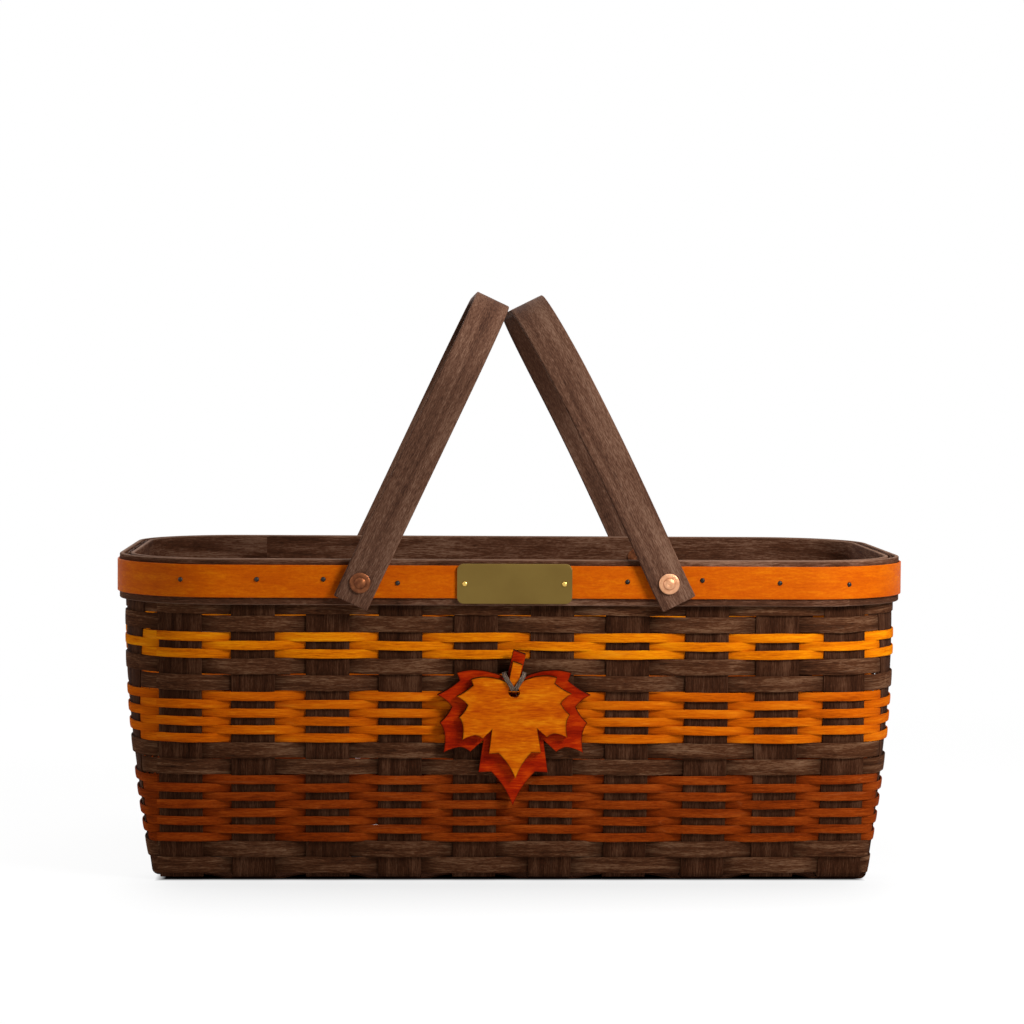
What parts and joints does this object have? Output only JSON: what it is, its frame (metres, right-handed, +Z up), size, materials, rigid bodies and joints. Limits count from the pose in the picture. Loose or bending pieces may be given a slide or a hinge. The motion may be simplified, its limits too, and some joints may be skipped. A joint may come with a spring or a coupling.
{
  "type": "wooden splint basket",
  "caption": "Rectangular woven splint basket with banded rim, two riveted swing handles that meet over the middle, a blank brass plate and a hanging leaf ornament.",
  "frame": {"origin": "centre of the overall box at the underside of the base, where the basket rests", "axes": "+Z up; +X along the basket's length, to the right of the front; the front with the plate and the leaves faces -Y"},
  "size_m": [0.4648, 0.2654, 0.3431],
  "materials": {
    "dark_splint": "stained dark brown, satin, fine grain",
    "golden_splint": "dyed golden yellow, satin",
    "orange_splint": "dyed orange, satin",
    "rust_splint": "dyed rust red, satin",
    "dark_band": "stained dark brown, satin",
    "orange_trim": "dyed orange, satin",
    "handle_wood": "stained brown, satin, long grain",
    "copper": "bright hammered copper",
    "plate_brass": "satin brushed brass",
    "red_leaf": "dyed red orange, dark cut edges",
    "gold_leaf": "dyed golden orange, dark cut edges",
    "lace": "grey brown waxed lace"
  },
  "bodies": {
    "basket": {"cross_splint_01": "dark_splint", "cross_splint_02": "dark_splint", "cross_splint_03": "dark_splint", "cross_splint_04": "dark_splint", "cross_splint_05": "dark_splint", "cross_splint_06": "dark_splint", "cross_splint_07": "dark_splint", "cross_splint_08": "dark_splint", "cross_splint_09": "dark_splint", "cross_splint_10": "dark_splint", "length_splint_01": "dark_splint", "length_splint_02": "dark_splint", "length_splint_03": "dark_splint", "length_splint_04": "dark_splint", "length_splint_05": "dark_splint", "weaver_01": "dark_splint", "weaver_02": "dark_splint", "weaver_03": "golden_splint", "weaver_04": "golden_splint", "weaver_05": "golden_splint", "weaver_06": "dark_splint", "weaver_07": "dark_splint", "weaver_08": "orange_splint", "weaver_09": "orange_splint", "weaver_10": "orange_splint", "weaver_11": "orange_splint", "weaver_12": "orange_splint", "weaver_13": "orange_splint", "weaver_14": "dark_splint", "weaver_15": "dark_splint", "weaver_16": "rust_splint", "weaver_17": "rust_splint", "weaver_18": "rust_splint", "weaver_19": "rust_splint", "weaver_20": "rust_splint", "weaver_21": "rust_splint", "weaver_22": "rust_splint", "weaver_23": "rust_splint", "weaver_24": "dark_splint", "weaver_25": "dark_splint", "rim_weaver": "dark_splint", "outer_band": "dark_band", "inner_band": "dark_band", "trim_band": "orange_trim", "rivet_front_left": "copper", "rivet_front_right": "copper", "rivet_back_left": "copper", "rivet_back_right": "copper", "burr_front_left": "copper", "burr_front_right": "copper", "burr_back_left": "copper", "burr_back_right": "copper", "brass_plate": "plate_brass", "plate_pin_left": "plate_brass", "plate_pin_right": "plate_brass"},
    "handle_left": {"handle_left": "handle_wood"},
    "handle_right": {"handle_right": "handle_wood"},
    "leaf_ornament": {"leaf_back": "red_leaf", "leaf_front": "gold_leaf", "leaf_lace": "lace"}
  },
  "joints": [
    {"name": "handle_left_swing", "type": "hinge", "parent": "basket", "child": "handle_left", "pos_m": [-0.0884, 0, 0.1753], "axis": [0, -1, 0], "range_deg": [0, 152]},
    {"name": "handle_right_swing", "type": "hinge", "parent": "basket", "child": "handle_right", "pos_m": [0.0884, 0, 0.1753], "axis": [0, 1, 0], "range_deg": [0, 153]},
    {"name": "leaf_swing", "type": "hinge", "parent": "basket", "child": "leaf_ornament", "pos_m": [0, -0.11901, 0.1217], "axis": [0, -0.9935, -0.1136], "range_deg": [-30, 30]}
  ]
}
